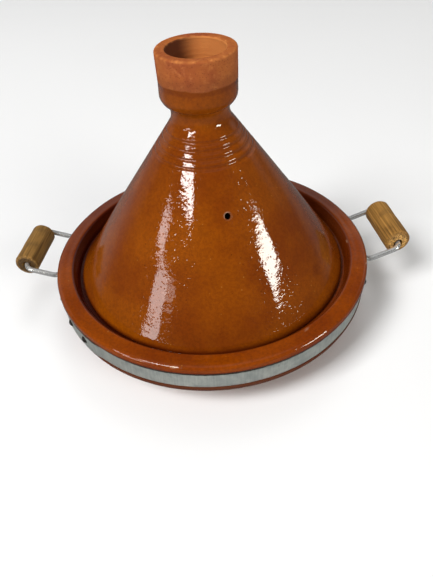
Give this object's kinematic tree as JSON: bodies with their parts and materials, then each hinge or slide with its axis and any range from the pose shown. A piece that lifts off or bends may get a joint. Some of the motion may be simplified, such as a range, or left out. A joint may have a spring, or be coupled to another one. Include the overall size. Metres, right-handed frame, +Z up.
{
  "type": "covered casserole dish",
  "caption": "Round glazed clay cooking dish with a tall cone-shaped lid, a cup-shaped knob, a clamped steel band and wire handles with wooden grips.",
  "frame": {"origin": "centre of the dish's flat base, on the surface it stands on", "axes": "+Z up along the axis of dish and lid, +X towards the right handle, +Y away from the side with the steam hole; the handles point a few degrees behind -X and +X"},
  "size_m": [0.3904, 0.3, 0.25],
  "materials": {
    "glaze": "glossy orange-brown glaze over red clay, bare matt clay on the knob and under the band",
    "galvanised": "dull blue-grey galvanised sheet",
    "steel_wire": "bright drawn wire",
    "rivet_steel": "dark plain steel",
    "wood": "turned bare wood with open grain"
  },
  "bodies": {
    "base": {"dish": "glaze", "rim_band": "galvanised", "lap_rivet_side": "rivet_steel", "lap_rivet_front": "rivet_steel", "plate_rivet_left_front": "rivet_steel", "plate_rivet_left_back": "rivet_steel", "plate_rivet_right_front": "rivet_steel", "plate_rivet_right_back": "rivet_steel", "handle_wire_left": "steel_wire", "handle_wire_right": "steel_wire", "keeper_plate_left": "galvanised", "keeper_plate_right": "galvanised"},
    "lid": {"lid": "glaze"},
    "grip_left": {"grip_left": "wood"},
    "grip_right": {"grip_right": "wood"}
  },
  "joints": [
    {"name": "lid_lift", "type": "slide", "parent": "base", "child": "lid", "axis": [0, 0, 1], "range_m": [0, 0.15]},
    {"name": "grip_left_turn", "type": "hinge", "parent": "base", "child": "grip_left", "pos_m": [-0.17976, 0.02847, 0.05234], "axis": [-0.1564, -0.9877, 0], "continuous": true},
    {"name": "grip_right_turn", "type": "hinge", "parent": "base", "child": "grip_right", "pos_m": [0.1809, 0.01997, 0.05401], "axis": [-0.1097, 0.994, 0], "continuous": true}
  ]
}
